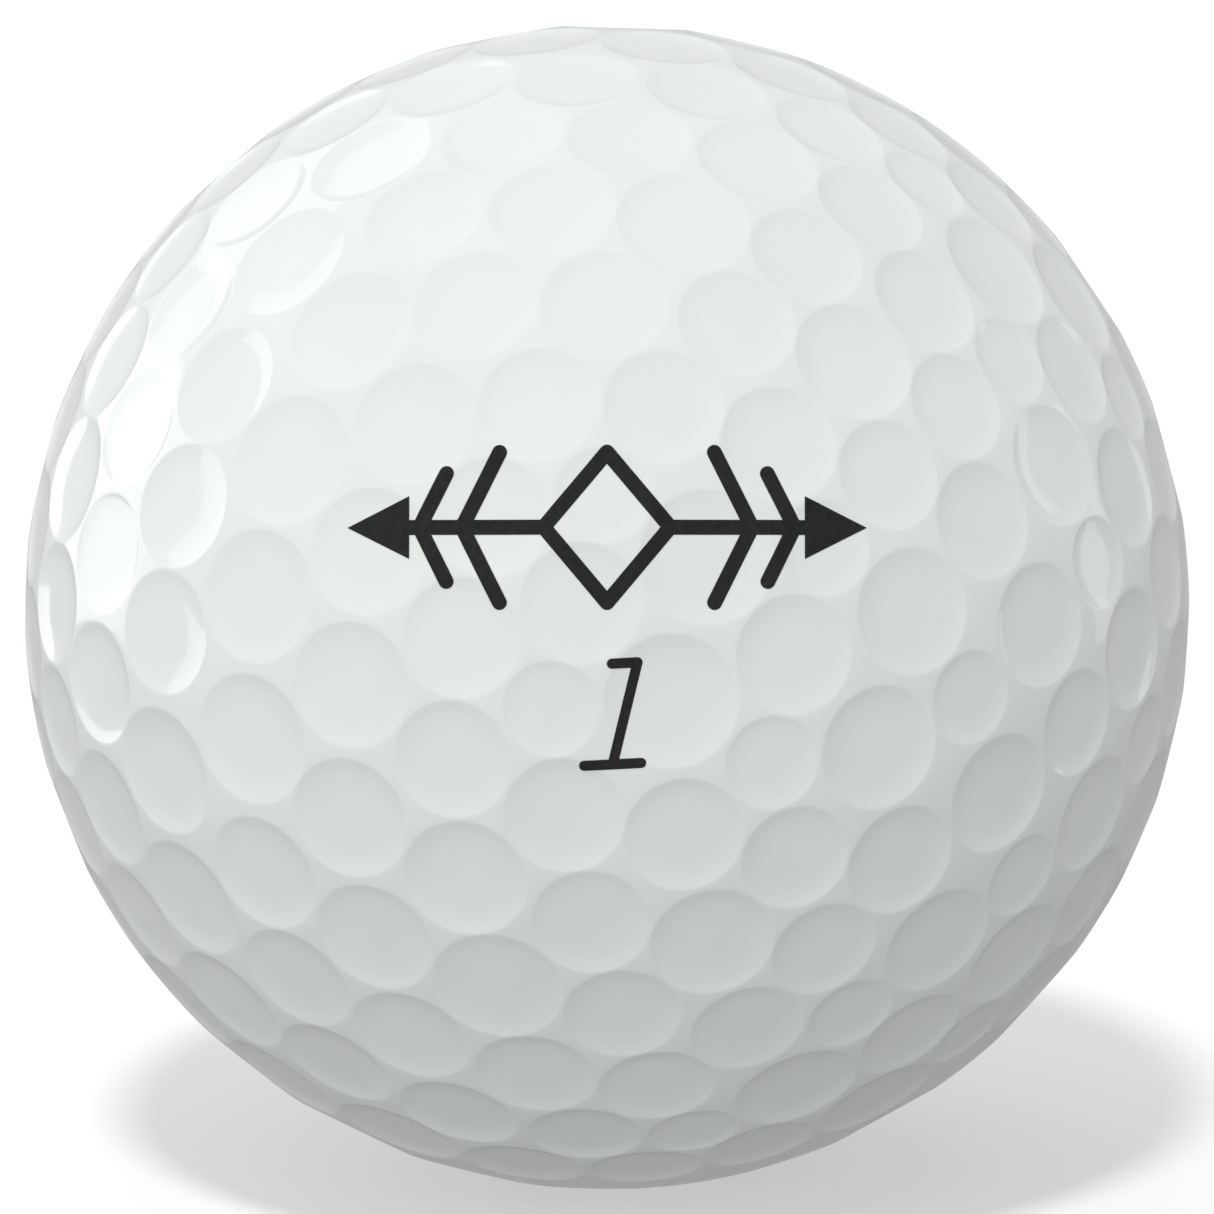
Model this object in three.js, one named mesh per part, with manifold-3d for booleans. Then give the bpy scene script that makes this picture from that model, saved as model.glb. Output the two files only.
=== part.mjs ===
// A three-piece golf ball: rubber core, casing moulded as two half cups, dimpled cover moulded as
// two halves that meet along a wavy parting line, and the marks printed on opposite sides.
// Millimetres, +Z up. The origin is the centre of the ball, and the first print faces -Y.

import * as THREE from 'three';
import { mergeVertices } from 'three/addons/utils/BufferGeometryUtils.js';
import { ConvexHull } from 'three/addons/math/ConvexHull.js';
import Module from 'manifold-3d';

// Layers, from the inside out.
const CORE_DIAMETER = 39.4;
const CASING_DIAMETER = 41.2;
const BALL_DIAMETER = 42.7;
const BALL_RADIUS = BALL_DIAMETER / 2;
const LAYER_GAP = 0.01;
const SPHERE_DETAIL = 5;

// Dimples: the rim diameter of each size, how deep a bowl sinks below its rim, and how sharply it
// turns up from its flat bottom to its rim. Each bowl has one step on the way down.
const DIMPLE_DIAMETERS = { A: 4.55, B: 4.3, C: 4.05, D: 3.8, E: 3.25 };
const DIMPLE_DEPTH = 0.11;
const BOWL_POWER = 4;
const BOWL_STEP = 0.7;
const RIM_SIDES = 10;

// One eighth of a hemisphere: latitude, longitude and size. Each dimple repeats at every quarter
// turn, and one that isn't on longitude 0 or 45 is mirrored about longitude 45 as well.
const SECTOR = [
  [6.4, 45, 'B'], [5.9, 33.1, 'B'], [5.7, 19.7, 'A'], [5.0, 6.4, 'A'],
  [16.7, 38.7, 'B'], [16.1, 25.8, 'B'], [16.0, 12.7, 'B'], [15.6, 0, 'B'],
  [27.4, 45, 'A'], [26.8, 31.5, 'B'], [26.2, 18.6, 'C'], [25.9, 6.2, 'C'],
  [37.6, 38.0, 'C'], [36.4, 24.2, 'C'], [34.8, 12.1, 'E'], [35.9, 0, 'C'],
  [47.8, 45, 'B'], [47.1, 27.6, 'C'], [45.5, 9.5, 'A'],
  [57.0, 34.9, 'D'], [55.2, 17.6, 'E'], [55.8, 0, 'C'],
  [66.8, 45, 'C'], [65.7, 15.6, 'B'],
  [78.6, 45, 'B'], [74.8, 0, 'E'],
];
const POLE_SIZE = 'D';
const QUARTER = 90;
const MIRROR_LONGITUDE = 45;

// How the moulding axis, through the two pole dimples, lies when the print faces the front.
const AXIS_AZIMUTH = -40;
const AXIS_ELEVATION = -5.1;
const AXIS_SPIN = -15.4;
const SEAM_GAP = 0.01;

// Printed marks. The ink is a film laid over land and dimples alike, drawn in strokes with round
// ends: an alignment mark, with its line, arrow heads, chevrons and lozenge, and a play number.
const PRINT_TILT = 9;
const INK_LIFT = 0.01;
const INK_THICKNESS = 0.04;
const ROUND_END_STEPS = 3;
const ALIGNMENT = { raise: 2.65, stroke: 0.5, halfLength: 8.7, head: 2.1 };
const CHEVRONS = [{ centre: 4.2, height: 5.0 }, { centre: 5.8, height: 3.6 }];
const CHEVRON_SWEEP = 0.5;
const LOZENGE = { halfWidth: 2.1, halfHeight: 2.5 };
const NUMBER = {
  aside: 0.1, raise: -3.56, stroke: 0.34, height: 3.35, lean: 1.0, flag: 0.85, foot: 1.9, turn: 3,
};

const wasm = await Module();
wasm.setup();

const radians = THREE.MathUtils.degToRad;

// ---------------------------------------------------------------- solids

function toSolid(geometry) {
  const bare = new THREE.BufferGeometry();
  bare.setAttribute('position', geometry.getAttribute('position'));
  bare.setIndex(geometry.getIndex());
  const welded = mergeVertices(bare, 1e-5);
  return new wasm.Manifold(new wasm.Mesh({
    numProp: 3,
    vertProperties: new Float32Array(welded.getAttribute('position').array),
    triVerts: new Uint32Array(welded.getIndex().array),
  }));
}

function toGeometry(solid) {
  const data = solid.getMesh();
  const geometry = new THREE.BufferGeometry();
  geometry.setAttribute('position', new THREE.BufferAttribute(data.vertProperties, 3));
  geometry.setIndex(new THREE.BufferAttribute(data.triVerts, 1));
  return geometry;
}

function ballSolid(diameter) {
  return toSolid(new THREE.IcosahedronGeometry(diameter / 2, SPHERE_DETAIL));
}

// ---------------------------------------------------------------- dimple layout

function direction(latitude, longitude) {
  const fromPole = radians(QUARTER - latitude);
  const around = radians(longitude);
  return new THREE.Vector3(
    Math.sin(fromPole) * Math.cos(around),
    Math.sin(fromPole) * Math.sin(around),
    Math.cos(fromPole),
  );
}

function dimple(latitude, longitude, size) {
  const reach = Math.asin(DIMPLE_DIAMETERS[size] / BALL_DIAMETER);
  return { axis: direction(latitude, longitude), longitude, reach };
}

// The southern half is the northern one turned over about a line on the equator.
function layOutDimples() {
  const northern = [[QUARTER, 0, POLE_SIZE]];
  for (const [latitude, longitude, size] of SECTOR) {
    const mirrored = MIRROR_LONGITUDE * 2 - longitude;
    const onMirror = longitude % MIRROR_LONGITUDE === 0;
    for (let turn = 0; turn < 360; turn += QUARTER) {
      northern.push([latitude, longitude + turn, size]);
      if (!onMirror) northern.push([latitude, mirrored + turn, size]);
    }
  }
  const north = northern.map(([latitude, longitude, size]) => dimple(latitude, longitude, size));
  const south = northern.map(([latitude, longitude, size]) =>
    dimple(-latitude, (MIRROR_LONGITUDE - longitude + 360) % 360, size));
  return { north, south };
}

function ringOf(spot, share, depth) {
  const across = new THREE.Vector3().crossVectors(spot.axis, new THREE.Vector3(0.3, 0.5, 0.8));
  across.normalize();
  const along = new THREE.Vector3().crossVectors(spot.axis, across);
  const radius = BALL_RADIUS * Math.sin(spot.reach) * share;
  const height = BALL_RADIUS * Math.cos(spot.reach) - depth;
  const ring = [];
  for (let side = 0; side < RIM_SIDES; side += 1) {
    const angle = (side / RIM_SIDES) * Math.PI * 2;
    ring.push(spot.axis.clone().multiplyScalar(height)
      .addScaledVector(across, radius * Math.cos(angle))
      .addScaledVector(along, radius * Math.sin(angle)));
  }
  return ring;
}

// ---------------------------------------------------------------- dimpled surface

function pushTriangle(positions, a, b, c) {
  positions.push(...a.toArray(), ...b.toArray(), ...c.toArray());
}

function pushBowl(positions, spot, rim) {
  const inner = ringOf(spot, BOWL_STEP, DIMPLE_DEPTH * (1 - BOWL_STEP ** BOWL_POWER));
  const bottom = spot.axis.clone()
    .multiplyScalar(BALL_RADIUS * Math.cos(spot.reach) - DIMPLE_DEPTH);
  for (let side = 0; side < RIM_SIDES; side += 1) {
    const next = (side + 1) % RIM_SIDES;
    pushTriangle(positions, rim[side], rim[next], inner[next]);
    pushTriangle(positions, rim[side], inner[next], inner[side]);
    pushTriangle(positions, inner[side], inner[next], bottom);
  }
}

// The land is the hull of every rim. A hull face with all its corners on one rim is the lid of
// that dimple, and the bowl takes its place.
function dimpledBall(dimples) {
  const rims = dimples.map((spot) => ringOf(spot, 1, 0));
  const owner = new Map();
  rims.forEach((rim, index) => rim.forEach((point) => owner.set(point, index)));
  const hull = new ConvexHull().setFromPoints(rims.flat());
  const positions = [];
  for (const face of hull.faces) {
    const corners = [face.edge, face.edge.next, face.edge.next.next].map((e) => e.head().point);
    const owners = new Set(corners.map((point) => owner.get(point)));
    if (owners.size > 1) pushTriangle(positions, ...corners);
  }
  dimples.forEach((spot, index) => pushBowl(positions, spot, rims[index]));
  const geometry = new THREE.BufferGeometry();
  geometry.setAttribute('position', new THREE.Float32BufferAttribute(positions, 3));
  return toSolid(geometry);
}

// ---------------------------------------------------------------- parting line

// The plane from the centre of the ball through the line where the flats across two rims would
// meet, which runs along the land between them. It faces north.
function landPlane(northern, southern) {
  return northern.axis.clone().multiplyScalar(Math.cos(southern.reach))
    .addScaledVector(southern.axis, -Math.cos(northern.reach));
}

// Northern and southern dimples alternate along the equator. The corners of the parting line are
// where the land plane of one pair meets that of the next.
function partingCorners(north, south) {
  const perRow = SECTOR.filter(([latitude]) => latitude < 7).length;
  const rowCount = (perRow * 2 - 1) * 4;
  const nearEquator = (list) => [...list]
    .sort((a, b) => Math.abs(a.axis.z) - Math.abs(b.axis.z))
    .slice(0, rowCount);
  const chain = [...nearEquator(north), ...nearEquator(south)]
    .sort((a, b) => a.longitude - b.longitude);
  const planes = chain.map((spot, index) => {
    const next = chain[(index + 1) % chain.length];
    return spot.axis.z > 0 ? landPlane(spot, next) : landPlane(next, spot);
  });
  return planes.map((plane, index) => {
    const next = planes[(index + 1) % planes.length];
    const corner = new THREE.Vector3().crossVectors(plane, next).normalize();
    return corner.dot(chain[(index + 1) % chain.length].axis) > 0 ? corner : corner.negate();
  });
}

// A block that holds everything on one side of a closed line of corners round the ball: walls
// that run straight out from the centre, and flat sides and top well clear of the cover.
function halfBlock(corners, side) {
  const reach = BALL_DIAMETER;
  const apex = new THREE.Vector3(0, 0, side * SEAM_GAP / 2);
  const top = new THREE.Vector3(0, 0, side * reach * 2);
  const lower = corners.map((corner) => corner.clone().multiplyScalar(reach).add(apex));
  const upper = lower.map((corner) => new THREE.Vector3(corner.x, corner.y, top.z));
  const positions = [];
  lower.forEach((corner, index) => {
    const next = (index + 1) % lower.length;
    const faces = [
      [apex, lower[next], corner],
      [corner, lower[next], upper[next]],
      [corner, upper[next], upper[index]],
      [top, upper[index], upper[next]],
    ];
    for (const [a, b, c] of faces) {
      if (side > 0) pushTriangle(positions, a, b, c);
      else pushTriangle(positions, a, c, b);
    }
  });
  const geometry = new THREE.BufferGeometry();
  geometry.setAttribute('position', new THREE.Float32BufferAttribute(positions, 3));
  return toSolid(geometry);
}

function flatCorners(count) {
  return Array.from({ length: count }, (_, index) => direction(0, (index / count) * 360));
}

// ---------------------------------------------------------------- printed marks

function stroke([startX, startY], [endX, endY], width) {
  const heading = Math.atan2(endY - startY, endX - startX);
  const outline = new THREE.Path();
  const half = Math.PI / 2;
  outline.absarc(endX, endY, width / 2, heading - half, heading + half);
  outline.absarc(startX, startY, width / 2, heading + half, heading + half + Math.PI);
  return new THREE.Shape(outline.getPoints(ROUND_END_STEPS));
}

function alignmentShapes() {
  const { halfWidth, halfHeight } = LOZENGE;
  const { halfLength, head } = ALIGNMENT;
  const pen = ALIGNMENT.stroke;
  const shapes = [];
  for (const side of [-1, 1]) {
    shapes.push(stroke([side * halfWidth, 0], [side * (halfLength - head / 2), 0], pen));
    shapes.push(stroke([side * halfWidth, 0], [0, halfHeight], pen));
    shapes.push(stroke([side * halfWidth, 0], [0, -halfHeight], pen));
    shapes.push(new THREE.Shape([
      new THREE.Vector2(side * halfLength, 0),
      new THREE.Vector2(side * (halfLength - head), side * head / 2),
      new THREE.Vector2(side * (halfLength - head), -side * head / 2),
    ]));
    for (const { centre, height } of CHEVRONS) {
      const sweep = CHEVRON_SWEEP * height / 2;
      const tip = [side * (centre + sweep / 2), 0];
      const back = side * (centre - sweep / 2);
      shapes.push(stroke(tip, [back, height / 2], pen), stroke(tip, [back, -height / 2], pen));
    }
  }
  return shapes;
}

function numberShapes() {
  const { height, lean, flag, foot } = NUMBER;
  const top = height / 2;
  return [
    stroke([lean - flag, top], [lean, top], NUMBER.stroke),
    stroke([lean, top], [0, -top], NUMBER.stroke),
    stroke([-foot / 2, -top], [foot / 2, -top], NUMBER.stroke),
  ];
}

// Straight stamps of the shapes, long enough to pass right through the skin on one side of the
// ball. The back stamp is the front one turned half way round the axis that runs up the print.
function stamp(shapes, { aside = 0, raise, turn = 0 }, onBack) {
  const solids = shapes.map((shape) => {
    const geometry = new THREE.ExtrudeGeometry(shape, { depth: BALL_RADIUS, bevelEnabled: false });
    geometry.rotateZ(radians(turn));
    geometry.translate(aside, raise, BALL_RADIUS / 2);
    if (onBack) geometry.rotateY(Math.PI);
    geometry.rotateX(radians(QUARTER - PRINT_TILT));
    return toSolid(geometry);
  });
  return solids.reduce((all, solid) => all.add(solid));
}

// ---------------------------------------------------------------- assembly

const layout = layOutDimples();
const placed = new THREE.Matrix4()
  .makeRotationZ(radians(AXIS_AZIMUTH))
  .multiply(new THREE.Matrix4().makeRotationY(radians(QUARTER - AXIS_ELEVATION)))
  .multiply(new THREE.Matrix4().makeRotationZ(radians(AXIS_SPIN)));

const outside = dimpledBall([...layout.north, ...layout.south]);
const cover = outside.subtract(ballSolid(CASING_DIAMETER + LAYER_GAP));
const seam = partingCorners(layout.north, layout.south);
const casing = ballSolid(CASING_DIAMETER).subtract(ballSolid(CORE_DIAMETER + LAYER_GAP));
const casingSeam = flatCorners(seam.length);

const part = new THREE.Group();
part.name = 'golf_ball';

function addPiece(name, geometry, colour, roughness) {
  const material = new THREE.MeshStandardMaterial({ color: colour, roughness, metalness: 0 });
  const piece = new THREE.Mesh(geometry, material);
  piece.name = name;
  part.add(piece);
}

function place(solid) {
  return toGeometry(solid).applyMatrix4(placed);
}

function lifted(height) {
  const scale = 1 + height / BALL_RADIUS;
  return toSolid(place(outside).scale(scale, scale, scale));
}

addPiece('core', place(ballSolid(CORE_DIAMETER)), 0x4d7fa8, 0.85);
addPiece('casing_half_a', place(casing.intersect(halfBlock(casingSeam, 1))), 0xd9dccf, 0.6);
addPiece('casing_half_b', place(casing.intersect(halfBlock(casingSeam, -1))), 0xd9dccf, 0.6);
addPiece('cover_half_a', place(cover.intersect(halfBlock(seam, 1))), 0xf2f5f2, 0.25);
addPiece('cover_half_b', place(cover.intersect(halfBlock(seam, -1))), 0xf2f5f2, 0.25);

const ink = lifted(INK_LIFT + INK_THICKNESS).subtract(lifted(INK_LIFT));
for (const [side, onBack] of [['front', false], ['back', true]]) {
  const mark = ink.intersect(stamp(alignmentShapes(), ALIGNMENT, onBack));
  const number = ink.intersect(stamp(numberShapes(), NUMBER, onBack));
  addPiece(`alignment_mark_${side}`, toGeometry(mark), 0x141414, 0.3);
  addPiece(`play_number_${side}`, toGeometry(number), 0x141414, 0.3);
}

export default part;
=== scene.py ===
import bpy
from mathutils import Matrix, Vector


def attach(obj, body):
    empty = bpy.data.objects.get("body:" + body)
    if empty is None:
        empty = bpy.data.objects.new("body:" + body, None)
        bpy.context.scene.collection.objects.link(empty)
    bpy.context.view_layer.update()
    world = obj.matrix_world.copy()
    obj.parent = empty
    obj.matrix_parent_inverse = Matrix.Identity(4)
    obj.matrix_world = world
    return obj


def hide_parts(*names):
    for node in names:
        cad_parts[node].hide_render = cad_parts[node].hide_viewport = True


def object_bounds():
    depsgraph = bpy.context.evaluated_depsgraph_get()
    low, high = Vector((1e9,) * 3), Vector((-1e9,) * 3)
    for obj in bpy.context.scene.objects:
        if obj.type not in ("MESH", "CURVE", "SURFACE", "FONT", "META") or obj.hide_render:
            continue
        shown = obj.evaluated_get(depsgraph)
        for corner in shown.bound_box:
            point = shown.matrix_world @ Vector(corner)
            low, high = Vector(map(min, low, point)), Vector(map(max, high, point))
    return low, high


bl_info = {
    "name": "Golf ball",
    "version": (1, 0, 0),
    "blender": (4, 5, 0),
    "location": "View3D > Sidebar > Golf ball",
    "description": "Models a three-piece golf ball, its printed marks and a studio stage",
    "category": "Object",
}

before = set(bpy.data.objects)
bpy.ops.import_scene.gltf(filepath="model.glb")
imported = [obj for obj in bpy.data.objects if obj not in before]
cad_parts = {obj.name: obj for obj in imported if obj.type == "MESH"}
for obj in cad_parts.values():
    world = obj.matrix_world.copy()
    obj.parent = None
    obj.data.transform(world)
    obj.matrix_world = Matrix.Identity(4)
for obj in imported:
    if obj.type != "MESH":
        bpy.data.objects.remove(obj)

import math

import bmesh
import bpy
from bpy.props import (
    FloatProperty,
    FloatVectorProperty,
    IntProperty,
    PointerProperty,
)
from mathutils import Matrix, Vector

CAD_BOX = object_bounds()
BODY = "root"
MM = 0.001
QUARTER = 90.0
SHARP_FOLD = 40.0

# One eighth of a hemisphere: latitude, longitude and size of each dimple. Each repeats at every
# quarter turn, and one that isn't on longitude 0 or 45 is mirrored about longitude 45 as well.
SECTOR = (
    (6.4, 45, "B"), (5.9, 33.1, "B"), (5.7, 19.7, "A"), (5.0, 6.4, "A"),
    (16.7, 38.7, "B"), (16.1, 25.8, "B"), (16.0, 12.7, "B"), (15.6, 0, "B"),
    (27.4, 45, "A"), (26.8, 31.5, "B"), (26.2, 18.6, "C"), (25.9, 6.2, "C"),
    (37.6, 38.0, "C"), (36.4, 24.2, "C"), (34.8, 12.1, "E"), (35.9, 0, "C"),
    (47.8, 45, "B"), (47.1, 27.6, "C"), (45.5, 9.5, "A"),
    (57.0, 34.9, "D"), (55.2, 17.6, "E"), (55.8, 0, "C"),
    (66.8, 45, "C"), (65.7, 15.6, "B"),
    (78.6, 45, "B"), (74.8, 0, "E"),
)
MIRROR_LONGITUDE = 45.0
POLE_SIZE = "D"

# Trimming the blank leaves corners less than WELD apart, in millimetres, which are one corner.
# The first ring of a dimple takes LAND_SHARE of the land beside it, rings that share a narrow
# land stay RING_GAP apart, and RING_SPREAD crowds the rings of a bowl towards its wall.
TRIM_TOLERANCE = 1e-5
WELD = 0.03
LAND_SHARE = 0.2
RING_GAP = 0.012
RING_SPREAD = 1.3

# Rings from the mouth of a cover half to its pole, and how much of a ring the last gap is.
INSIDE_RINGS = 9
LAST_RING = 0.3

# Steps of a casing cup from its pole to its mouth, and how near two corners are one, in metres.
CUP_STEPS = 24
CUP_WELD = 1e-6

# Where each chevron of the alignment mark sits and how tall it is, in millimetres, how far its
# arms sweep either way as a share of its height, how far the film reaches past a mark before it
# is trimmed, in millimetres, and the sides of a stroke's round end.
CHEVRONS = ((4.2, 5.0), (5.8, 3.6))
CHEVRON_SWEEP = 0.125
PRINT_MARGIN = 1.2
ROUND_END_SIDES = 24
# Prisms of different kinds differ by this share in length for each side, so that their ends
# never lie in one plane.
LENGTH_STEP = 0.001

# Directions of the lights, as azimuth from the camera's side and elevation in degrees, the
# sizes of the softboxes in metres, and the distance of all of them.
KEY_WAY = (-10.0, 58.0)
LEFT_WAY, LEFT_SIZE = (-115.0, 9.0), (0.62, 0.5)
FILL_WAY, FILL_SIZE = (-95.0, -6.0), (0.5, 0.4)
HIGH_WAY, HIGH_SIZE = (-137.0, 36.0), (0.4, 0.4)
RIGHT_WAY, RIGHT_SIZE = (112.0, 6.0), (0.12, 0.42)
LIGHT_DISTANCE = 0.9

# Where the sky is brighter than its even light, and the cosines that the brighter part spans.
SKY_LEFT_WAY, SKY_LEFT_SPAN = (-90.0, 30.0), (-0.6, 1.0)
SKY_TOP_WAY, SKY_TOP_SPAN = (0.0, 90.0), (-1.0, 1.0)
SKY_FRONT_WAY, SKY_FRONT_SPAN = (-15.0, -30.0), (0.0, 1.0)

# Width of the camera's sensor in millimetres, and how near it sees in metres.
SENSOR_WIDTH = 36.0
NEAREST_SEEN = 0.01


# ---------------------------------------------------------------- sizes and colours

def length(name, description, default_mm):
    return FloatProperty(name=name, description=description, default=default_mm * MM,
                         min=0.0, precision=5, subtype="DISTANCE", unit="LENGTH")


def angle(name, description, degrees):
    return FloatProperty(name=name, description=description, default=math.radians(degrees),
                         subtype="ANGLE", unit="ROTATION")


def colour(name, description, default):
    return FloatVectorProperty(name=name, description=description, default=default, size=3,
                               min=0.0, max=1.0, subtype="COLOR")


def plain(name, description, default, top=1.0):
    return FloatProperty(name=name, description=description, default=default, min=0.0, max=top)


class GolfBallLayers(bpy.types.PropertyGroup):
    ball_diameter: length("Ball diameter", "Across the land of the cover", 42.7)
    casing_diameter: length("Casing diameter", "Outside of the casing", 41.2)
    core_diameter: length("Core diameter", "Outside of the rubber core", 39.4)
    layer_gap: length("Layer gap", "Clearance between neighbouring layers", 0.01)
    core_cuts: IntProperty(name="Core cuts", description="Subdivisions of the core's ball",
                           default=6, min=3, max=7)
    shell_steps: IntProperty(name="Shell steps", default=64, min=24, max=128,
                             description="Steps of a casing cup round its axis")


class GolfBallDimples(bpy.types.PropertyGroup):
    size_a: length("Size A", "Diameter of the largest dimples, at the crest of the rim", 4.6)
    size_b: length("Size B", "Diameter of the second size", 4.35)
    size_c: length("Size C", "Diameter of the middle size", 4.1)
    size_d: length("Size D", "Diameter of the fourth size", 3.85)
    size_e: length("Size E", "Diameter of the smallest dimples", 3.29)
    wall_angle: angle("Wall angle", "Slope at a bowl's edge, from the flat across its rim", 13.5)
    flatness: FloatProperty(name="Flatness", default=4.4, min=1.0, max=6.0,
                            description="How fast the slope dies out towards the bottom")
    rim_radius: length("Rim radius", "Rounding between land and bowl", 0.42)
    edge_step: length("Edge step", "Spacing of the points along the middle of the land", 0.4)
    rim_steps: IntProperty(name="Rim steps", description="Rings in the rounding of a rim",
                           default=4, min=2, max=8)
    bowl_steps: IntProperty(name="Bowl steps", description="Rings down the bowl",
                            default=5, min=2, max=8)
    azimuth: angle("Axis azimuth", "Where the moulding axis points, seen from above", -40.0)
    elevation: angle("Axis elevation", "How far the moulding axis rises", -5.1)
    spin: angle("Axis spin", "Turn of the dimples about the moulding axis", -15.4)


class GolfBallMarks(bpy.types.PropertyGroup):
    tilt: angle("Print tilt", "How far the print faces up", 9.0)
    lift: length("Ink lift", "Underside of the ink above the cover", 0.003)
    thickness: length("Ink thickness", "Thickness of the ink film", 0.012)
    mark_raise: length("Mark raise", "Alignment mark above the middle of the print", 2.65)
    mark_stroke: length("Mark stroke", "Width of the alignment mark's strokes", 0.5)
    half_length: length("Half length", "From the middle of the mark to an arrow's tip", 8.7)
    head: length("Arrow head", "Length and width of an arrow head", 2.1)
    lozenge_width: length("Lozenge width", "Half width of the lozenge", 2.1)
    lozenge_height: length("Lozenge height", "Half height of the lozenge", 2.5)
    number_raise: FloatProperty(name="Number raise", default=-3.56 * MM, subtype="DISTANCE",
                                unit="LENGTH", precision=5,
                                description="Play number above the middle of the print")
    number_aside: length("Number aside", "Play number right of the middle of the print", 0.1)
    number_stroke: length("Number stroke", "Width of the play number's strokes", 0.34)
    number_height: length("Number height", "Height of the play number", 3.35)
    number_lean: length("Number lean", "How far the top of the number leans over", 1.0)
    number_flag: length("Number flag", "Length of the flag", 0.85)
    number_foot: length("Number foot", "Length of the foot", 1.9)
    number_turn: angle("Number turn", "Turn of the play number", 3.0)


class GolfBallFinish(bpy.types.PropertyGroup):
    cover: colour("Cover", "White paint of the cover", (0.74, 0.777, 0.75))
    cover_shade: colour("Cover shade", "Thinner paint, where it drew back", (0.722, 0.757, 0.73))
    ink: colour("Ink", "Black of the printed marks", (0.012, 0.012, 0.013))
    ink_thin: colour("Thin ink", "Black of the print where less ink lies", (0.02, 0.02, 0.021))
    casing: colour("Casing", "Undyed plastic of the casing", (0.69, 0.71, 0.62))
    casing_pale: colour("Pale casing", "Flow marks in the casing", (0.76, 0.77, 0.69))
    core: colour("Core", "Dyed rubber of the core", (0.07, 0.2, 0.38))
    core_speck: colour("Core speck", "Filler specks in the rubber", (0.12, 0.29, 0.5))
    gloss: plain("Gloss roughness", "Roughness of the clear coat", 0.07)
    peel: length("Peel", "Ripple of the clear coat", 0.0015)


class GolfBallStage(bpy.types.PropertyGroup):
    camera_elevation: angle("Camera elevation", "Height of the camera above the floor line", 9.0)
    camera_distance: length("Camera distance", "From the ball's centre", 210.9)
    lens: FloatProperty(name="Lens", description="Focal length", default=169.7, min=10.0,
                        unit="CAMERA")
    floor_size: length("Floor size", "Side of the square floor", 6000.0)
    floor: colour("Floor", "Pale studio floor", (0.42, 0.42, 0.42))
    floor_shade: colour("Floor shade", "Faint mottling of the floor", (0.41, 0.41, 0.41))
    floor_glow: plain("Floor glow", "Light that the floor gives off by itself", 0.40, top=2.0)
    sky: plain("Sky", "Light from all round", 0.26, top=5.0)
    sky_left: plain("Sky left", "More light from the left side", 0.12, top=5.0)
    sky_top: plain("Sky top", "More light from above", 0.52, top=5.0)
    sky_front: plain("Sky front", "More light from low in front", 0.38, top=5.0)
    key: plain("Key", "Strength of the front light on the ball", 0.95, top=100.0)
    floor_key: plain("Floor key", "Strength of the front light on the floor", 2.55, top=100.0)
    key_size: angle("Key size", "How wide the front light looks from the ball", 30.0)
    floor_key_size: angle("Floor key size", "How wide it looks from the floor", 8.0)
    left: plain("Left", "Power of the left softbox in watts", 1.3, top=100.0)
    left_fill: plain("Left fill", "Power of the low left fill light in watts", 1.3, top=100.0)
    high: plain("High", "Power of the high rear softbox in watts", 0.3, top=100.0)
    right: plain("Right", "Power of the right softbox in watts", 0.14, top=100.0)


def settings():
    return bpy.context.scene.golf_ball


class GolfBallSettings(bpy.types.PropertyGroup):
    layers: PointerProperty(type=GolfBallLayers)
    dimples: PointerProperty(type=GolfBallDimples)
    marks: PointerProperty(type=GolfBallMarks)
    finish: PointerProperty(type=GolfBallFinish)
    stage: PointerProperty(type=GolfBallStage)


# ---------------------------------------------------------------- shader writing

class Wire:
    """One output socket in a node tree, with the sums that are done on it."""

    def __init__(self, tree, socket):
        self.tree = tree
        self.socket = socket

    def node(self, kind, options=None, **inputs):
        made = self.tree.nodes.new(kind)
        for key, value in (options or {}).items():
            setattr(made, key, value)
        for key, value in inputs.items():
            name = int(key[1:]) if key[0] == "_" else key.replace("_", " ")
            target = made.inputs[name]
            if isinstance(value, Wire):
                self.tree.links.new(value.socket, target)
            else:
                target.default_value = value
        return made

    def wire(self, made, output=0):
        return Wire(self.tree, made.outputs[output])

    def math(self, operation, first, second):
        made = self.node("ShaderNodeMath", {"operation": operation}, _0=first, _1=second)
        return self.wire(made)

    def __add__(self, other):
        return self.math("ADD", self, other)

    def __radd__(self, other):
        return self.math("ADD", other, self)

    def __mul__(self, other):
        return self.math("MULTIPLY", self, other)

    def __rmul__(self, other):
        return self.math("MULTIPLY", other, self)

    def step(self, low, high):
        made = self.node("ShaderNodeMapRange", {"interpolation_type": "SMOOTHSTEP"},
                         _0=self, _1=low, _2=high, _3=0.0, _4=1.0)
        return self.wire(made)

    def noise(self, scale, detail=2.0, roughness=0.5):
        made = self.node("ShaderNodeTexNoise", None, Vector=self, Scale=scale, Detail=detail,
                         Roughness=roughness)
        return self.wire(made, "Fac")

    def along(self, way):
        made = self.node("ShaderNodeVectorMath", {"operation": "DOT_PRODUCT"}, _0=self, _1=way)
        return self.wire(made, "Value")

    def mix(self, first, second):
        made = self.node("ShaderNodeMix", {"data_type": "RGBA"}, _0=self, _6=first, _7=second)
        return self.wire(made, 2)

    def bump(self, strength, distance):
        made = self.node("ShaderNodeBump", None, Strength=strength, Distance=distance, Height=self)
        return self.wire(made)


def rgba(value):
    return (value[0], value[1], value[2], 1.0)


def new_material(name, **surface):
    """A material with a Principled shader, and the wire of its object coordinates."""
    material = bpy.data.materials.new(name)
    material.use_nodes = True
    tree = material.node_tree
    shader = tree.nodes["Principled BSDF"]
    for key, value in surface.items():
        shader.inputs[key.replace("_", " ")].default_value = value
    place = tree.nodes.new("ShaderNodeTexCoord")
    return material, shader, Wire(tree, place.outputs["Object"])


def feed(shader, **wires):
    for key, wire in wires.items():
        wire.tree.links.new(wire.socket, shader.inputs[key.replace("_", " ")])


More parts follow.
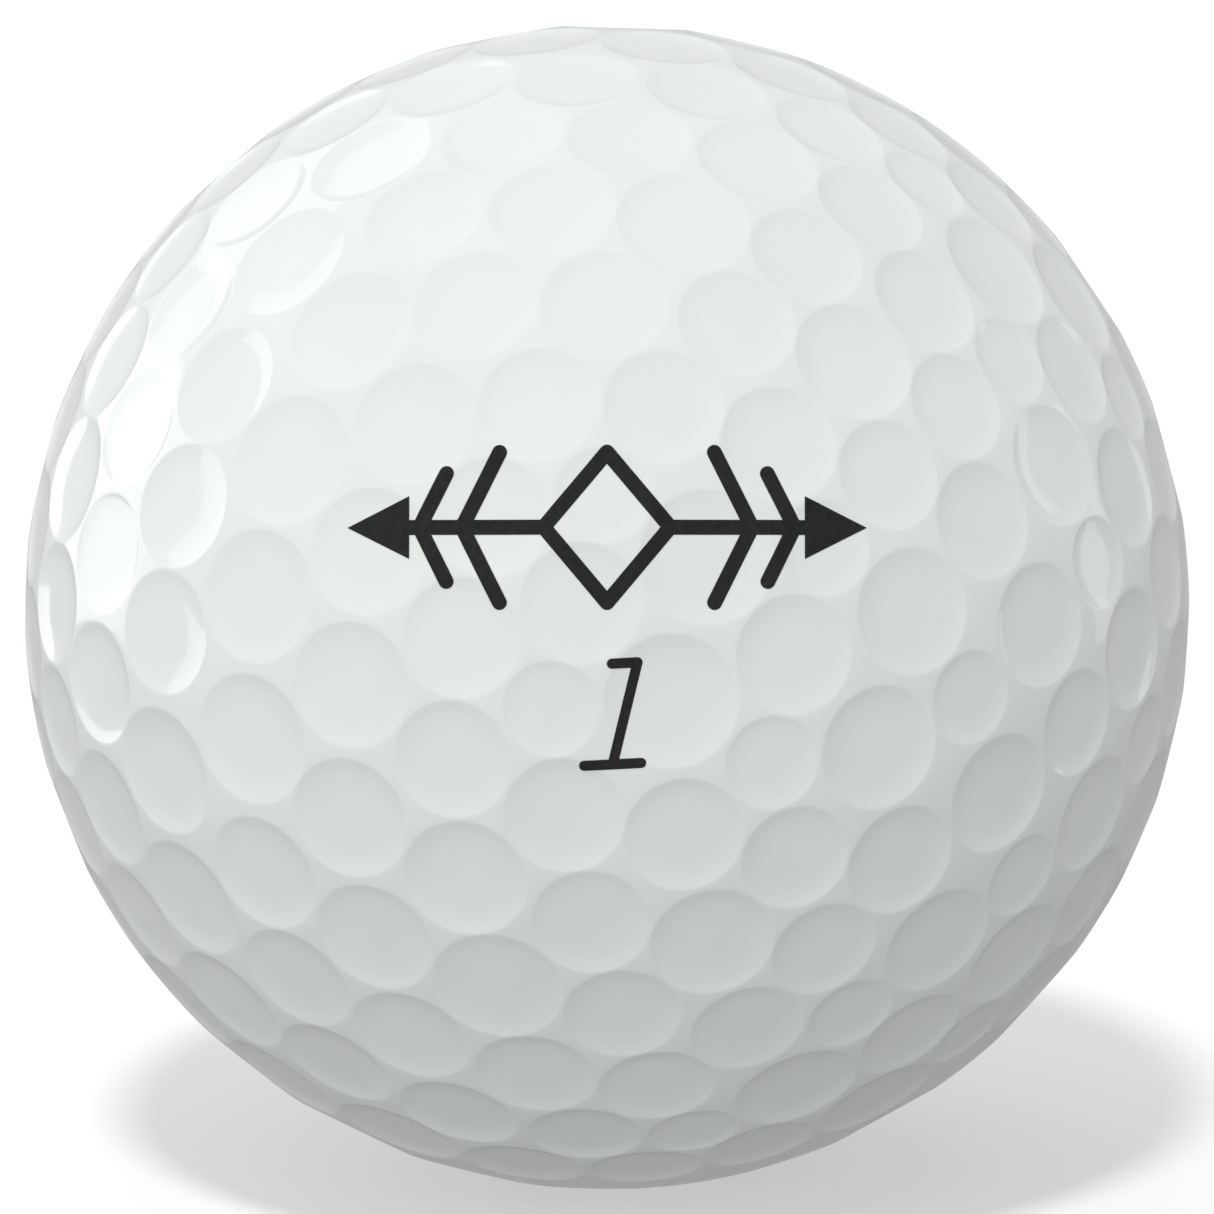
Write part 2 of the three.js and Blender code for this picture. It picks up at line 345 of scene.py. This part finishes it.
def cover_material():
    finish = settings().finish
    material, shader, place = new_material(
        "white_paint_clear_coat", IOR=1.5, Coat_Weight=1.0, Coat_Roughness=finish.gloss,
        Coat_IOR=1.5)
    cloud = place.noise(160.0, 3.0)
    feed(shader,
         Base_Color=cloud.step(0.35, 0.7).mix(rgba(finish.cover), rgba(finish.cover_shade)),
         Roughness=place.noise(900.0, 2.0) * 0.08 + 0.38,
         Normal=place.noise(700.0, 2.0).bump(0.12, finish.peel))
    return material


def ink_material():
    finish = settings().finish
    material, shader, place = new_material("black_ink", IOR=1.25)
    grain = place.noise(4200.0, 3.0, 0.65)
    feed(shader,
         Base_Color=grain.step(0.3, 0.75).mix(rgba(finish.ink), rgba(finish.ink_thin)),
         Roughness=grain * 0.2 + 0.35,
         Normal=place.noise(700.0, 2.0).bump(0.12, finish.peel))
    return material


def casing_material():
    finish = settings().finish
    material, shader, place = new_material("casing_plastic", IOR=1.49)
    cloud = place.noise(90.0, 4.0)
    feed(shader,
         Base_Color=cloud.mix(rgba(finish.casing), rgba(finish.casing_pale)),
         Roughness=cloud * 0.2 + 0.4,
         Normal=place.noise(2600.0, 3.0).bump(0.3, 0.01 * MM))
    return material


def core_material():
    finish = settings().finish
    material, shader, place = new_material("core_rubber", IOR=1.52)
    speck = place.noise(1500.0, 5.0, 0.7)
    feed(shader,
         Base_Color=speck.step(0.4, 0.72).mix(rgba(finish.core), rgba(finish.core_speck)),
         Roughness=speck * 0.25 + 0.6,
         Normal=speck.bump(0.5, 0.03 * MM))
    return material


# ---------------------------------------------------------------- pieces

def add_piece(name, mesh_tools, material, smooth=True):
    mesh = bpy.data.meshes.new(name)
    mesh_tools.to_mesh(mesh)
    mesh_tools.free()
    mesh.materials.append(material)
    mesh.polygons.foreach_set("use_smooth", [smooth] * len(mesh.polygons))
    piece = bpy.data.objects.new(name, mesh)
    bpy.context.scene.collection.objects.link(piece)
    return piece


def sharpen(mesh_tools):
    """Folds of more than SHARP_FOLD degrees are shaded as edges."""
    limit = math.radians(SHARP_FOLD)
    for edge in mesh_tools.edges:
        edge.smooth = edge.is_manifold and edge.calc_face_angle() < limit


def stand_for(piece, node):
    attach(piece, BODY)
    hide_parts(node)


def moulding_axis():
    """The turn from the dimple layout, whose axis is +Z, to how the ball lies."""
    dimples = settings().dimples
    return (Matrix.Rotation(dimples.azimuth, 4, "Z")
            @ Matrix.Rotation(math.radians(QUARTER) - dimples.elevation, 4, "Y")
            @ Matrix.Rotation(dimples.spin, 4, "Z"))


# ---------------------------------------------------------------- dimple layout

class Dimple:
    """Where one dimple sits, and its section: a rounded rim and a bowl with a flat bottom."""

    def __init__(self, latitude, longitude, size):
        shape = settings().dimples
        north, east = math.radians(latitude), math.radians(longitude)
        self.axis = Vector((math.cos(north) * math.cos(east),
                            math.cos(north) * math.sin(east), math.sin(north)))
        self.ball = settings().layers.ball_diameter / MM / 2.0
        self.fillet = shape.rim_radius / MM
        crest = getattr(shape, "size_" + size.lower()) / MM / 2.0
        self.flat = math.sqrt(self.ball ** 2 - crest ** 2)
        self.outer = crest + self.fillet * math.sin(shape.wall_angle) / 2.0
        tilt = math.asin(self.outer / self.ball)
        self.centre = self.outer - self.fillet * math.sin(tilt)
        self.base = (self.ball - self.fillet) * math.cos(tilt)
        self.edge = self.centre - self.fillet * math.sin(shape.wall_angle)
        self.flatness = shape.flatness
        self.wall = math.tan(shape.wall_angle)
        span = self.outer - self.edge
        self.rings = [self.outer - span * step / shape.rim_steps
                      for step in range(shape.rim_steps + 1)]
        self.rings += [self.edge * (1.0 - (step / (shape.bowl_steps + 1)) ** RING_SPREAD)
                       for step in range(1, shape.bowl_steps + 1)]

    def height(self, reach):
        """Height along the dimple's axis at a distance out from it."""
        if reach >= self.outer:
            return math.sqrt(self.ball ** 2 - reach ** 2)
        if reach >= self.edge:
            return self.base + math.sqrt(self.fillet ** 2 - (reach - self.centre) ** 2)
        power = self.flatness + 1.0
        fallen = self.edge * (1.0 - (reach / self.edge) ** power) * self.wall / power
        return self.height(self.edge) - fallen


def lay_out_dimples():
    """The southern half is the northern one turned over about a line on the equator."""
    places = [(QUARTER, 0.0, POLE_SIZE)]
    for latitude, longitude, size in SECTOR:
        mirrored = {longitude, 2.0 * MIRROR_LONGITUDE - longitude}
        if longitude % MIRROR_LONGITUDE == 0:
            mirrored = {longitude}
        for turn in range(4):
            places += [(latitude, side + turn * QUARTER, size) for side in sorted(mirrored)]
    north = [Dimple(*place) for place in places]
    south = [Dimple(-latitude, MIRROR_LONGITUDE - longitude, size)
             for latitude, longitude, size in places]
    return north + south


# ---------------------------------------------------------------- dimpled skin

def ball_with_flats(dimples, ball):
    """A blank trimmed to one flat for each dimple. Neighbouring flats meet on the land."""
    blank = bmesh.new()
    bmesh.ops.create_cube(blank, size=ball * 3.0)
    for dimple in dimples:
        trimmed = bmesh.ops.bisect_plane(
            blank, geom=blank.verts[:] + blank.edges[:] + blank.faces[:], dist=TRIM_TOLERANCE,
            plane_co=dimple.axis * dimple.flat, plane_no=dimple.axis, clear_outer=True)
        rim = [part for part in trimmed["geom_cut"] if isinstance(part, bmesh.types.BMEdge)]
        bmesh.ops.edgeloop_fill(blank, edges=rim)
    bmesh.ops.remove_doubles(blank, verts=blank.verts[:], dist=WELD)
    return blank


def divide_land(blank, step):
    """Evenly spaced points along every edge between two flats."""
    by_cuts = {}
    for edge in blank.edges:
        cuts = max(0, round(edge.calc_length() / step) - 1)
        by_cuts.setdefault(cuts, []).append(edge)
    for cuts, edges in sorted(by_cuts.items()):
        if cuts:
            bmesh.ops.bisect_edges(blank, edges=edges, cuts=cuts)


def out_from(dimple, point):
    """Direction out from the dimple's axis to a point, and the distance."""
    out = point - dimple.axis * point.dot(dimple.axis)
    return out.normalized(), out.length


def round_ridges(skin, dimples, owner):
    """Where two rims run into each other, the ridge between them is lower than the ball."""
    for corner in skin.verts:
        dips = []
        for face in corner.link_faces:
            dimple = dimples[face[owner]]
            reach = out_from(dimple, corner.co)[1]
            dips.append(corner.co.dot(dimple.axis) - dimple.height(reach))
        corner.co *= 1.0 - sum(dips) / len(dips) / corner.co.length


def press_dimples(skin, dimples, owner):
    """Steps every face in, ring by ring, from the middle of the land down to the bottom."""
    room = skin.verts.layers.float.new("room")
    faces = skin.faces[:]
    for ring in range(-1, len(dimples[0].rings)):
        faces = bmesh.ops.extrude_discrete_faces(skin, faces=faces)["faces"]
        for face in faces:
            dimple = dimples[face[owner]]
            for corner in face.verts:
                out, reach = out_from(dimple, corner.co)
                if ring < 0:
                    corner[room] = reach
                    reach -= max(LAND_SHARE * (reach - dimple.outer), RING_GAP)
                else:
                    reach = min(dimple.rings[ring], corner[room] - RING_GAP * (ring + 2))
                corner.co = out * reach + dimple.axis * dimple.height(reach)
    bottoms = [dimples[face[owner]] for face in faces]
    poked = bmesh.ops.poke(skin, faces=faces)
    for corner, dimple in zip(poked["verts"], bottoms):
        corner.co = dimple.axis * dimple.height(0.0)


def dimpled_skin():
    """The whole outside of the cover, in millimetres, about the moulding axis."""
    dimples = lay_out_dimples()
    skin = ball_with_flats(dimples, dimples[0].ball)
    divide_land(skin, settings().dimples.edge_step / MM)
    for corner in skin.verts:
        corner.co = corner.co.normalized() * dimples[0].ball
    owner = skin.faces.layers.int.new("dimple")
    for face in skin.faces:
        middle = face.calc_center_median().normalized()
        face[owner] = max(range(len(dimples)), key=lambda index: dimples[index].axis.dot(middle))
    round_ridges(skin, dimples, owner)
    press_dimples(skin, dimples, owner)
    return skin, dimples


def closed_half(skin, dimples, side):
    """One half of the cover: its outside, its wall at the parting line and its inside."""
    half = skin.copy()
    owner = half.faces.layers.int["dimple"]
    other = [face for face in half.faces if dimples[face[owner]].axis.z * side < 0.0]
    bmesh.ops.delete(half, geom=other, context="FACES")
    inner = (settings().layers.casing_diameter + settings().layers.layer_gap) / MM / 2.0
    mouth = [edge for edge in half.edges if edge.is_boundary]
    for step in range(INSIDE_RINGS):
        grown = bmesh.ops.extrude_edge_only(half, edges=mouth)["geom"]
        mouth = [part for part in grown if isinstance(part, bmesh.types.BMEdge)
                 and part.is_boundary]
        for corner in {corner for edge in mouth for corner in edge.verts}:
            up = corner.co.normalized()
            if step:
                up = up.slerp(Vector((0.0, 0.0, side)), 1.0 / (INSIDE_RINGS + LAST_RING - step))
            corner.co = up * inner
    bmesh.ops.edgeloop_fill(half, edges=mouth)
    bmesh.ops.recalc_face_normals(half, faces=half.faces[:])
    sharpen(half)
    return half


# ---------------------------------------------------------------- printed marks

class Stamp:
    """Straight prisms of the strokes of one mark, that reach through the skin of the ball."""

    def __init__(self, stroke, aside, rise, turn, on_back):
        self.tools = bmesh.new()
        self.stroke = stroke
        marks = settings().marks
        depth = settings().layers.ball_diameter / MM / 2.0
        self.depth = depth
        self.place = (Matrix.Rotation(math.radians(QUARTER) - marks.tilt, 4, "X")
                      @ Matrix.Rotation(math.pi if on_back else 0.0, 4, "Y")
                      @ Matrix.Translation((aside, rise, depth))
                      @ Matrix.Rotation(turn, 4, "Z"))

    def bar(self, start, end):
        """A stroke with round ends."""
        start, end = Vector(start), Vector(end)
        run = end - start
        spread = (Matrix.Translation((*((start + end) / 2.0), 0.0))
                  @ Matrix.Rotation(math.atan2(run.y, run.x), 4, "Z"))
        bmesh.ops.create_cube(
            self.tools, size=1.0,
            matrix=spread @ Matrix.Diagonal((run.length, self.stroke, self.depth, 1.0)))
        for point in (start, end):
            self.prism(point, self.stroke / 2.0, ROUND_END_SIDES, 1.0)

    def prism(self, point, radius, sides, wide):
        """An upright prism, its first corner to the right, or to the left if wide is below 0."""
        squeeze = Matrix.Diagonal((wide, 1.0, 1.0, 1.0))
        bmesh.ops.create_cone(
            self.tools, cap_ends=True, segments=sides, radius1=radius, radius2=radius,
            depth=self.depth * (1.0 + LENGTH_STEP * sides),
            matrix=(Matrix.Translation((*point, 0.0)) @ squeeze
                    @ Matrix.Rotation(-math.pi / 2.0, 4, "Z")))

    def reach(self):
        """How far the mark reaches across and up from its middle, with some room to spare."""
        corners = [corner.co for corner in self.tools.verts]
        return (max(abs(point.x) for point in corners) + PRINT_MARGIN,
                max(abs(point.y) for point in corners) + PRINT_MARGIN)

    def finished(self):
        bmesh.ops.transform(self.tools, matrix=self.place, verts=self.tools.verts[:])
        bmesh.ops.recalc_face_normals(self.tools, faces=self.tools.faces[:])
        return self.tools


def alignment_stamp(on_back):
    marks = settings().marks
    stamp = Stamp(marks.mark_stroke / MM, 0.0, marks.mark_raise / MM, 0.0, on_back)
    across, tall = marks.lozenge_width / MM, marks.lozenge_height / MM
    end, head = marks.half_length / MM, marks.head / MM
    radius = head / math.sqrt(3.0)
    for side in (-1.0, 1.0):
        corner = (side * across, 0.0)
        stamp.bar(corner, (side * (end - head / 2.0), 0.0))
        stamp.bar(corner, (0.0, tall))
        stamp.bar(corner, (0.0, -tall))
        wide = side * head / (1.5 * radius)
        stamp.prism((side * (end - head) + wide * radius / 2.0, 0.0), radius, 3, wide)
        for centre, height in CHEVRONS:
            sweep = CHEVRON_SWEEP * height
            tip = (side * (centre + sweep), 0.0)
            for up in (-1.0, 1.0):
                stamp.bar(tip, (side * (centre - sweep), up * height / 2.0))
    return stamp


def number_stamp(on_back):
    marks = settings().marks
    stamp = Stamp(marks.number_stroke / MM, marks.number_aside / MM, marks.number_raise / MM,
                  marks.number_turn, on_back)
    top, lean = marks.number_height / MM / 2.0, marks.number_lean / MM
    foot = marks.number_foot / MM / 2.0
    stamp.bar((lean - marks.number_flag / MM, top), (lean, top))
    stamp.bar((lean, top), (0.0, -top))
    stamp.bar((-foot, -top), (foot, -top))
    return stamp


def ink_film(skin, stamp):
    """The skin under a mark, thickened outwards to a film that lies just off the cover."""
    marks = settings().marks
    film = skin.copy()
    seen = stamp.place.inverted() @ moulding_axis()
    bmesh.ops.transform(film, matrix=seen, verts=film.verts[:])
    across, up = stamp.reach()
    far = []
    for face in film.faces:
        middle = face.calc_center_median()
        if abs(middle.x) > across or abs(middle.y) > up or middle.z < -stamp.depth / 2.0:
            far.append(face)
    bmesh.ops.delete(film, geom=far, context="FACES")
    bmesh.ops.transform(film, matrix=stamp.place, verts=film.verts[:])
    radius = settings().layers.ball_diameter / 2.0
    under = 1.0 + marks.lift / radius
    over = (1.0 + (marks.lift + marks.thickness) / radius) / under
    bmesh.ops.scale(film, vec=(under,) * 3, verts=film.verts[:])
    grown = bmesh.ops.extrude_face_region(film, geom=film.faces[:], use_keep_orig=True)["geom"]
    top = [part for part in grown if isinstance(part, bmesh.types.BMVert)]
    bmesh.ops.scale(film, vec=(over,) * 3, verts=top)
    bmesh.ops.recalc_face_normals(film, faces=film.faces[:])
    return film


def trimmed_to(film, stamp):
    """The part of the film inside the stamp."""
    objects = []
    for tools in (film, stamp):
        mesh = bpy.data.meshes.new("print_tool")
        tools.to_mesh(mesh)
        tools.free()
        objects.append(bpy.data.objects.new("print_tool", mesh))
        bpy.context.scene.collection.objects.link(objects[-1])
    trim = objects[0].modifiers.new("trim", "BOOLEAN")
    trim.operation = "INTERSECT"
    trim.solver = "EXACT"
    trim.use_self = True
    trim.object = objects[1]
    shown = objects[0].evaluated_get(bpy.context.evaluated_depsgraph_get())
    ink = bmesh.new()
    ink.from_mesh(shown.to_mesh())
    shown.to_mesh_clear()
    for made in objects:
        mesh = made.data
        bpy.data.objects.remove(made)
        bpy.data.meshes.remove(mesh)
    bmesh.ops.remove_doubles(ink, verts=ink.verts[:], dist=TRIM_TOLERANCE)
    bmesh.ops.scale(ink, vec=(MM, MM, MM), verts=ink.verts[:])
    sharpen(ink)
    return ink


# ---------------------------------------------------------------- operators

class GOLFBALL_OT_core(bpy.types.Operator):
    """Model the solid rubber core"""

    bl_idname = "golfball.core"
    bl_label = "Core"

    def execute(self, context):
        layers = settings().layers
        core = bmesh.new()
        bmesh.ops.create_icosphere(core, subdivisions=layers.core_cuts,
                                   radius=layers.core_diameter / 2.0)
        piece = add_piece("rubber_core", core, core_material())
        stand_for(piece, "core")
        return {"FINISHED"}


class GOLFBALL_OT_casing(bpy.types.Operator):
    """Model the two half cups of the casing"""

    bl_idname = "golfball.casing"
    bl_label = "Casing cups"

    def execute(self, context):
        material = casing_material()
        for name, node, side in (("casing_cup_a", "casing_half_a", 1.0),
                                 ("casing_cup_b", "casing_half_b", -1.0)):
            piece = add_piece(name, self.cup(side), material)
            stand_for(piece, node)
        return {"FINISHED"}

    def cup(self, side):
        """A section from the pole out to the mouth and back, spun round the moulding axis."""
        layers = settings().layers
        outer = layers.casing_diameter / 2.0
        inner = (layers.core_diameter + layers.layer_gap) / 2.0
        mouth = layers.layer_gap / 2.0
        cup = bmesh.new()
        outside = [(outer, step / CUP_STEPS) for step in range(CUP_STEPS + 1)]
        inside = [(inner, step / CUP_STEPS) for step in range(CUP_STEPS, -1, -1)]
        corners = []
        for radius, share in outside + inside:
            rise = math.asin(mouth / radius)
            turn = math.radians(QUARTER) - (math.radians(QUARTER) - rise) * share
            corners.append(cup.verts.new((radius * math.cos(turn), 0.0, radius * math.sin(turn))))
        for first, second in zip(corners, corners[1:]):
            cup.edges.new((first, second))
        bmesh.ops.spin(cup, geom=cup.verts[:] + cup.edges[:], axis=(0.0, 0.0, 1.0),
                       cent=(0.0, 0.0, 0.0), angle=math.tau, steps=layers.shell_steps,
                       use_merge=True)
        bmesh.ops.remove_doubles(cup, verts=cup.verts[:], dist=CUP_WELD)
        bmesh.ops.scale(cup, vec=(1.0, 1.0, side), verts=cup.verts[:])
        bmesh.ops.recalc_face_normals(cup, faces=cup.faces[:])
        bmesh.ops.transform(cup, matrix=moulding_axis(), verts=cup.verts[:])
        sharpen(cup)
        return cup


class GOLFBALL_OT_cover(bpy.types.Operator):
    """Model the two dimpled halves of the cover, which meet along a wavy parting line"""

    bl_idname = "golfball.cover"
    bl_label = "Cover halves"

    def execute(self, context):
        skin, dimples = dimpled_skin()
        material = cover_material()
        for name, node, side in (("cover_shell_a", "cover_half_a", 1.0),
                                 ("cover_shell_b", "cover_half_b", -1.0)):
            half = closed_half(skin, dimples, side)
            bmesh.ops.scale(half, vec=(MM, MM, MM), verts=half.verts[:])
            bmesh.ops.transform(half, matrix=moulding_axis(), verts=half.verts[:])
            piece = add_piece(name, half, material)
            stand_for(piece, node)
        skin.free()
        return {"FINISHED"}


class GOLFBALL_OT_marks(bpy.types.Operator):
    """Lay the alignment mark and the play number over land and dimples, front and back"""

    bl_idname = "golfball.marks"
    bl_label = "Printed marks"

    def execute(self, context):
        material = ink_material()
        skin = dimpled_skin()[0]
        for side, on_back in (("front", False), ("back", True)):
            for mark, stamp in (("alignment_mark", alignment_stamp(on_back)),
                                ("play_number", number_stamp(on_back))):
                ink = trimmed_to(ink_film(skin, stamp), stamp.finished())
                if not ink.faces:
                    raise RuntimeError("no ink is left of the " + mark)
                piece = add_piece(mark + "_ink_" + side, ink, material)
                stand_for(piece, mark + "_" + side)
        skin.free()
        return {"FINISHED"}


class GOLFBALL_OT_stage(bpy.types.Operator):
    """Set out the floor, the lights and the camera"""

    bl_idname = "golfball.stage"
    bl_label = "Stage"

    def execute(self, context):
        stage = settings().stage
        self.floor(stage)
        self.lights(stage)
        self.camera(context, stage)
        context.scene.view_settings.view_transform = "Standard"
        return {"FINISHED"}

    def floor(self, stage):
        sheet = bmesh.new()
        bmesh.ops.create_grid(sheet, x_segments=1, y_segments=1, size=stage.floor_size / 2.0)
        height = CAD_BOX[0][2]
        bmesh.ops.translate(sheet, vec=(0.0, 0.0, height), verts=sheet.verts[:])
        material, shader, place = new_material(
            "studio_floor", Roughness=0.9, Specular_IOR_Level=0.0,
            Emission_Color=(1.0, 1.0, 1.0, 1.0), Emission_Strength=stage.floor_glow)
        feed(shader, Base_Color=place.noise(40.0).mix(rgba(stage.floor), rgba(stage.floor_shade)))
        floor = add_piece("studio_floor", sheet, material, smooth=False)
        floor.visible_diffuse = False
        floor.visible_glossy = False

    def lights(self, stage):
        self.sky(stage)
        self.softbox("left_softbox", LEFT_WAY, LEFT_SIZE, stage.left)
        fill = self.softbox("left_fill", FILL_WAY, FILL_SIZE, stage.left_fill)
        fill.visible_glossy = False
        self.softbox("high_softbox", HIGH_WAY, HIGH_SIZE, stage.high)
        self.softbox("right_softbox", RIGHT_WAY, RIGHT_SIZE, stage.right)
        self.key("key_on_ball", stage.key, stage.key_size, "EXCLUDE")
        self.key("key_on_floor", stage.floor_key, stage.floor_key_size, "INCLUDE")

    def key(self, name, strength, size, on_floor):
        """The front light. It is softer on the ball than on the floor, which takes its shadow."""
        lamp = bpy.data.lights.new(name, "SUN")
        lamp.energy = strength
        lamp.angle = size
        light = self.placed(name, lamp, self.way(*KEY_WAY))
        light.visible_glossy = False
        receivers = bpy.data.collections.new(name)
        receivers.objects.link(bpy.data.objects["studio_floor"])
        receivers.collection_objects[0].light_linking.link_state = on_floor
        light.light_linking.receiver_collection = receivers

    def sky(self, stage):
        """Even light from all round, with more of it from the left, above and low in front."""
        world = bpy.data.worlds.new("studio_sky")
        world.use_nodes = True
        tree = world.node_tree
        shine = Wire(tree, tree.nodes.new("ShaderNodeTexCoord").outputs["Generated"])
        left = shine.along(self.way(*SKY_LEFT_WAY)).step(*SKY_LEFT_SPAN) * stage.sky_left
        top = shine.along(self.way(*SKY_TOP_WAY)).step(*SKY_TOP_SPAN) * stage.sky_top
        front = shine.along(self.way(*SKY_FRONT_WAY)).step(*SKY_FRONT_SPAN) * stage.sky_front
        background = tree.nodes["Background"]
        background.inputs["Color"].default_value = (1.0, 1.0, 1.0, 1.0)
        tree.links.new((left + top + front + stage.sky).socket, background.inputs["Strength"])
        bpy.context.scene.world = world

    def way(self, azimuth, elevation):
        """Direction from the ball, with azimuth 0 on the camera's side."""
        around, rise = math.radians(azimuth), math.radians(elevation)
        return Vector((math.sin(around) * math.cos(rise), -math.cos(around) * math.cos(rise),
                       math.sin(rise)))

    def softbox(self, name, angles, size, power):
        lamp = bpy.data.lights.new(name, "AREA")
        lamp.shape = "RECTANGLE"
        lamp.size, lamp.size_y = size
        lamp.energy = power
        return self.placed(name, lamp, self.way(*angles))

    def placed(self, name, lamp, way):
        """A light that looks back at the ball from the given direction."""
        light = bpy.data.objects.new(name, lamp)
        light.location = way * LIGHT_DISTANCE
        light.rotation_euler = way.to_track_quat("Z", "Y").to_euler()
        bpy.context.scene.collection.objects.link(light)
        return light

    def camera(self, context, stage):
        eye = bpy.data.cameras.new("camera")
        eye.lens = stage.lens
        eye.sensor_width = SENSOR_WIDTH
        eye.clip_start = NEAREST_SEEN
        seat = bpy.data.objects.new("camera", eye)
        rise = stage.camera_elevation
        seat.location = Vector((0.0, -math.cos(rise), math.sin(rise))) * stage.camera_distance
        seat.rotation_euler = (math.radians(QUARTER) - rise, 0.0, 0.0)
        context.scene.collection.objects.link(seat)
        context.scene.camera = seat


class GOLFBALL_PT_panel(bpy.types.Panel):
    """Sidebar panel with the steps and the sizes of the golf ball"""

    bl_idname = "GOLFBALL_PT_panel"
    bl_label = "Golf ball"
    bl_space_type = "VIEW_3D"
    bl_region_type = "UI"
    bl_category = "Golf ball"

    def draw(self, context):
        for operator in STEPS:
            self.layout.operator(operator.bl_idname)
        for group in (settings().layers, settings().dimples, settings().marks,
                      settings().finish, settings().stage):
            box = self.layout.box()
            for name in group.__annotations__:
                box.prop(group, name)


STEPS = (GOLFBALL_OT_core, GOLFBALL_OT_casing, GOLFBALL_OT_cover, GOLFBALL_OT_marks,
         GOLFBALL_OT_stage)
GROUPS = (GolfBallLayers, GolfBallDimples, GolfBallMarks, GolfBallFinish, GolfBallStage,
          GolfBallSettings)


def register():
    for kind in GROUPS + STEPS + (GOLFBALL_PT_panel,):
        bpy.utils.register_class(kind)
    bpy.types.Scene.golf_ball = PointerProperty(type=GolfBallSettings)


def unregister():
    del bpy.types.Scene.golf_ball
    for kind in reversed(GROUPS + STEPS + (GOLFBALL_PT_panel,)):
        bpy.utils.unregister_class(kind)


def main():
    register()
    bpy.ops.golfball.core()
    bpy.ops.golfball.casing()
    bpy.ops.golfball.cover()
    bpy.ops.golfball.marks()
    bpy.ops.golfball.stage()


if __name__ == "__main__":
    main()
